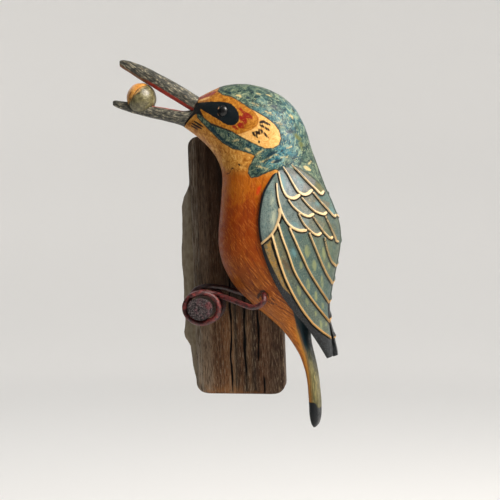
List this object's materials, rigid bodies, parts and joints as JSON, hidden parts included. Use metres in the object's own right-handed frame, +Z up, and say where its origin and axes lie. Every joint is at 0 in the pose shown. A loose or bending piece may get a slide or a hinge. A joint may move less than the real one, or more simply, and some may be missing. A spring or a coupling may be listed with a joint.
{
  "type": "wall-hung carved bird",
  "caption": "Painted carved kingfisher in profile with a nut in its open beak, held by wire legs to a peg in a weathered board that hangs on a wall.",
  "frame": {"origin": "the middle of the board's flat back, which lies on the wall", "axes": "+Y goes into the wall and -Y out of it towards the viewer, +Z is up, +X runs along the wall to the right, away from the beak"},
  "size_m": [0.1633, 0.0904, 0.256],
  "materials": {
    "weathered_board": "dark, rough and weathered, with open grain",
    "rough_peg": "rough, greyed end grain",
    "painted_bird": "hand painted in ochre, orange, green and cream, satin and worn",
    "painted_beak": "worn grey paint with a red mouth line",
    "painted_nut": "varnished brown and olive",
    "eye_bead": "glossy black",
    "leg_paint": "lumpy red-brown paint"
  },
  "bodies": {
    "root": {"backboard": "weathered_board", "perch_peg": "rough_peg", "carved_bird": "painted_bird", "beak": "painted_beak", "nut": "painted_nut", "eye_near": "eye_bead", "eye_far": "eye_bead", "leg_wire_near": "leg_paint", "leg_wire_far": "leg_paint"}
  },
  "joints": []
}
